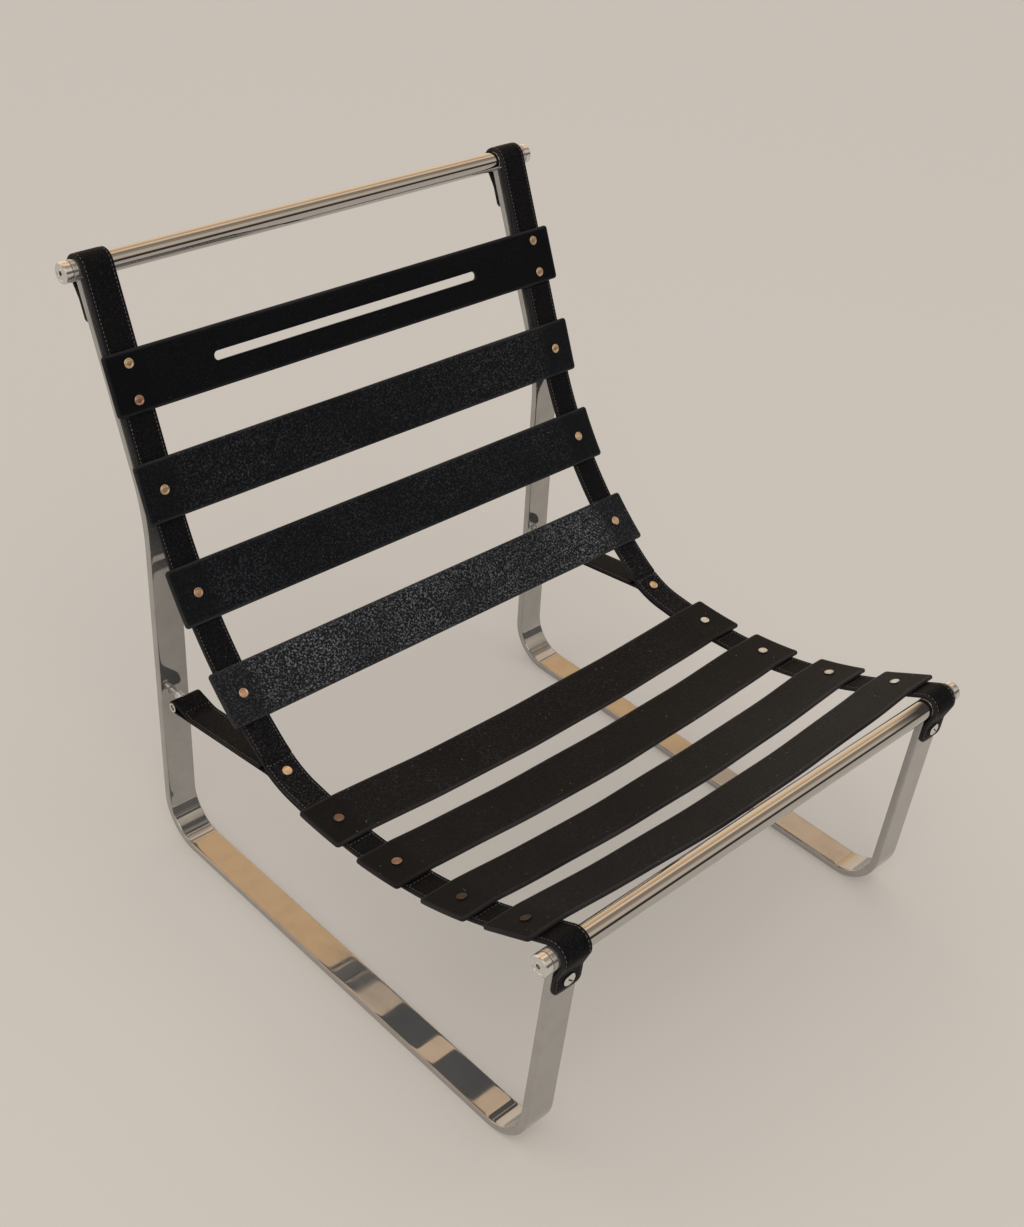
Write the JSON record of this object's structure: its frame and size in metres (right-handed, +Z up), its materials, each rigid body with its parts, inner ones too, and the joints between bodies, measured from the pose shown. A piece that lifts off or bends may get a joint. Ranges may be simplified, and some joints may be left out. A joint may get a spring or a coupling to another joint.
{
  "type": "cantilever lounge chair",
  "caption": "Low lounge chair with bent steel bar sled frames joined by two round rods, carrying a slung seat and back of black leather straps and riveted leather slats.",
  "frame": {"origin": "middle of the bounding box on the floor, under the seat", "axes": "+Z up, the sitter faces -Y, +X across the chair"},
  "size_m": [0.6996, 0.829, 0.7467],
  "materials": {
    "steel_bar": "polished flat bar, warm grey reflections",
    "steel_rod": "polished round rod",
    "bright_fittings": "bright turned steel",
    "strap_leather": "black saddle leather, two layers stitched along both edges",
    "slat_leather": "black saddle leather, worn grain and burnished edges",
    "rivet_copper": "domed copper rivet heads, slightly dulled"
  },
  "bodies": {
    "root": {"side_frame_left": "steel_bar", "side_frame_right": "steel_bar", "head_rod": "steel_rod", "front_rod": "steel_rod", "head_bolt_left": "bright_fittings", "head_bolt_right": "bright_fittings", "front_bolt_left": "bright_fittings", "front_bolt_right": "bright_fittings", "main_strap_left": "strap_leather", "main_strap_right": "strap_leather", "stay_strap_left": "strap_leather", "stay_strap_right": "strap_leather", "slat_1": "slat_leather", "slat_2": "slat_leather", "slat_3": "slat_leather", "slat_4": "slat_leather", "slat_5": "slat_leather", "slat_6": "slat_leather", "slat_7": "slat_leather", "slat_8": "slat_leather", "stay_stud_left": "bright_fittings", "stay_stud_right": "bright_fittings", "stay_nut_left": "bright_fittings", "stay_nut_right": "bright_fittings", "stay_pin_left": "bright_fittings", "stay_pin_right": "bright_fittings", "tab_screw_left": "bright_fittings", "tab_screw_right": "bright_fittings", "tail_screw_left": "bright_fittings", "tail_screw_right": "bright_fittings", "rivet_1a_left": "rivet_copper", "rivet_1a_right": "rivet_copper", "rivet_1b_left": "rivet_copper", "rivet_1b_right": "rivet_copper", "rivet_2_left": "rivet_copper", "rivet_2_right": "rivet_copper", "rivet_3_left": "rivet_copper", "rivet_3_right": "rivet_copper", "rivet_4_left": "rivet_copper", "rivet_4_right": "rivet_copper", "rivet_5_left": "rivet_copper", "rivet_5_right": "rivet_copper", "rivet_6_left": "rivet_copper", "rivet_6_right": "rivet_copper", "rivet_7_left": "rivet_copper", "rivet_7_right": "rivet_copper", "rivet_8_left": "rivet_copper", "rivet_8_right": "rivet_copper", "rivet_joint_left": "rivet_copper", "rivet_joint_right": "rivet_copper"}
  },
  "joints": []
}
